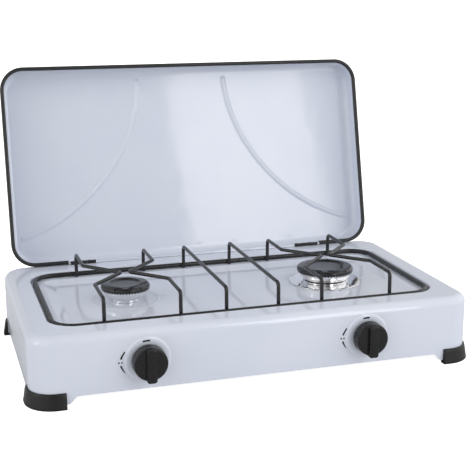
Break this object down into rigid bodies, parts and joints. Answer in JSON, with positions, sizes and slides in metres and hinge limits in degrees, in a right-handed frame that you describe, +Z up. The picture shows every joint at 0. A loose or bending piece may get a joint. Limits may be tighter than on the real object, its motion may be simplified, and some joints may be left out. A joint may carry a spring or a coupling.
{
  "type": "camping stove",
  "caption": "Low rectangular enamelled gas stove with two burners, a wire pan support in a sunk tray, front turn knobs, corner feet and a hinged wind-shield lid standing open.",
  "frame": {"origin": "on the ground, centre of the footprint of the whole object with the lid open", "axes": "+X to the right of a cook standing in front, +Z up, the front with the knobs faces -Y"},
  "size_m": [0.53, 0.3903, 0.3329],
  "materials": {
    "white_enamel": "glossy vitreous enamel, cool light grey-white",
    "black_enamel": "satin black enamel on steel wire",
    "cap_enamel": "satin black enamel",
    "knob_plastic": "moulded black plastic, satin",
    "foot_plastic": "moulded black plastic, fine grain",
    "trim_rubber": "soft black extrusion",
    "polished_steel": "polished",
    "plated_steel": "zinc plated",
    "brass": "machined"
  },
  "bodies": {
    "root": {"body_shell": "white_enamel", "burner_bowl_left": "polished_steel", "burner_bowl_right": "polished_steel", "burner_nut_left": "plated_steel", "burner_nut_right": "plated_steel", "foot_front_left": "foot_plastic", "foot_front_right": "foot_plastic", "foot_rear_left": "foot_plastic", "foot_rear_right": "foot_plastic", "gas_manifold": "plated_steel", "hinge_body_leaf_left": "black_enamel", "hinge_body_leaf_right": "black_enamel", "hinge_body_rivet_left": "black_enamel", "hinge_body_rivet_right": "black_enamel", "hinge_pin_left": "black_enamel", "hinge_pin_right": "black_enamel", "hose_nipple": "brass", "inlet_nut": "brass", "jet_left": "brass", "jet_right": "brass", "manifold_bracket_left": "plated_steel", "manifold_bracket_right": "plated_steel", "mixing_tube_left": "plated_steel", "mixing_tube_right": "plated_steel", "tap_body_left": "brass", "tap_body_right": "brass", "tap_cover_left": "plated_steel", "tap_cover_right": "plated_steel", "trim_ring_right": "polished_steel"},
    "lid": {"hinge_lid_leaf_left": "black_enamel", "hinge_lid_leaf_right": "black_enamel", "hinge_lid_rivet_left_1": "black_enamel", "hinge_lid_rivet_left_2": "black_enamel", "hinge_lid_rivet_right_1": "black_enamel", "hinge_lid_rivet_right_2": "black_enamel", "lid_edge_trim": "trim_rubber", "lid_panel": "white_enamel"},
    "pan_support": {"pan_ring": "black_enamel", "pan_wire_left_east": "black_enamel", "pan_wire_left_west": "black_enamel", "pan_wire_middle_left": "black_enamel", "pan_wire_middle_right": "black_enamel", "pan_wire_right_east": "black_enamel", "pan_wire_right_west": "black_enamel"},
    "cap_left": {"burner_cap_left": "cap_enamel"},
    "cap_right": {"burner_cap_right": "cap_enamel"},
    "tap_core_left": {"stem_spring_left": "plated_steel", "tap_plug_left": "brass"},
    "tap_core_right": {"stem_spring_right": "plated_steel", "tap_plug_right": "brass"},
    "knob_left": {"knob_left": "knob_plastic", "tap_stem_left": "plated_steel"},
    "knob_right": {"knob_right": "knob_plastic", "tap_stem_right": "plated_steel"}
  },
  "joints": [
    {"name": "lid_hinge", "type": "hinge", "parent": "root", "child": "lid", "pos_m": [0, 0.10738, 0.0824], "axis": [1, 0, 0], "range_deg": [0, 103.5]},
    {"name": "knob_turn_left", "type": "hinge", "parent": "root", "child": "tap_core_left", "pos_m": [-0.1337, -0.14632, 0.0456], "axis": [0, -1, 0], "range_deg": [0, 120]},
    {"name": "knob_push_left", "type": "slide", "parent": "tap_core_left", "child": "knob_left", "axis": [0, 1, 0], "range_m": [0, 0.0025], "stiffness_N_per_m": 1500, "springref_m": -0.002, "deforming": ["stem_spring_left"]},
    {"name": "knob_turn_right", "type": "hinge", "parent": "root", "child": "tap_core_right", "pos_m": [0.1233, -0.14632, 0.0456], "axis": [0, -1, 0], "range_deg": [0, 120]},
    {"name": "knob_push_right", "type": "slide", "parent": "tap_core_right", "child": "knob_right", "axis": [0, 1, 0], "range_m": [0, 0.0025], "stiffness_N_per_m": 1500, "springref_m": -0.002, "deforming": ["stem_spring_right"]},
    {"name": "pan_support_lift", "type": "slide", "parent": "root", "child": "pan_support", "axis": [0, 0, -1], "range_m": [-0.03, 0]},
    {"name": "cap_lift_left", "type": "slide", "parent": "root", "child": "cap_left", "axis": [0, 0, -1], "range_m": [-0.009, 0]},
    {"name": "cap_lift_right", "type": "slide", "parent": "root", "child": "cap_right", "axis": [0, 0, -1], "range_m": [-0.009, 0]}
  ]
}
